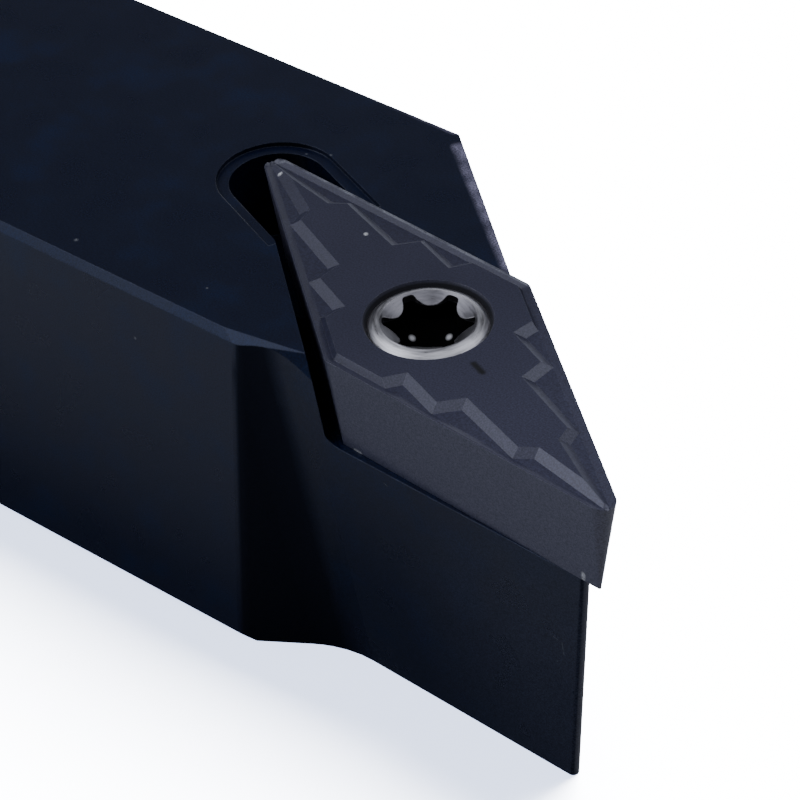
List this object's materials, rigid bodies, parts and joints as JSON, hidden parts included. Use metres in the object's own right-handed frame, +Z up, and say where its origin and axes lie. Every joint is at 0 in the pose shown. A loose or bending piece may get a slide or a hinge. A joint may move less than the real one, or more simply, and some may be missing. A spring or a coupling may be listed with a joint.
{
  "type": "turning tool holder",
  "caption": "Left-hand external turning tool: a square steel shank with a stepped head, a rhombic cutting insert in a pocket and a countersunk clamp screw with a six-lobe socket.",
  "frame": {"origin": "on the base of the shank, under its centre line and halfway along the tool's overall length", "axes": "+X along the shank towards the nose, +Y away from the cutting side, +Z up from the base to the top"},
  "size_m": [0.1, 0.0121, 0.0123],
  "materials": {
    "holder_steel": "black oxide, satin, brighter along broken edges",
    "insert_carbide": "dark grey hard coating on sintered carbide",
    "screw_steel": "bright turned head, dark socket"
  },
  "bodies": {
    "root": {"holder": "holder_steel", "insert": "insert_carbide", "clamp_screw": "screw_steel"}
  },
  "joints": []
}
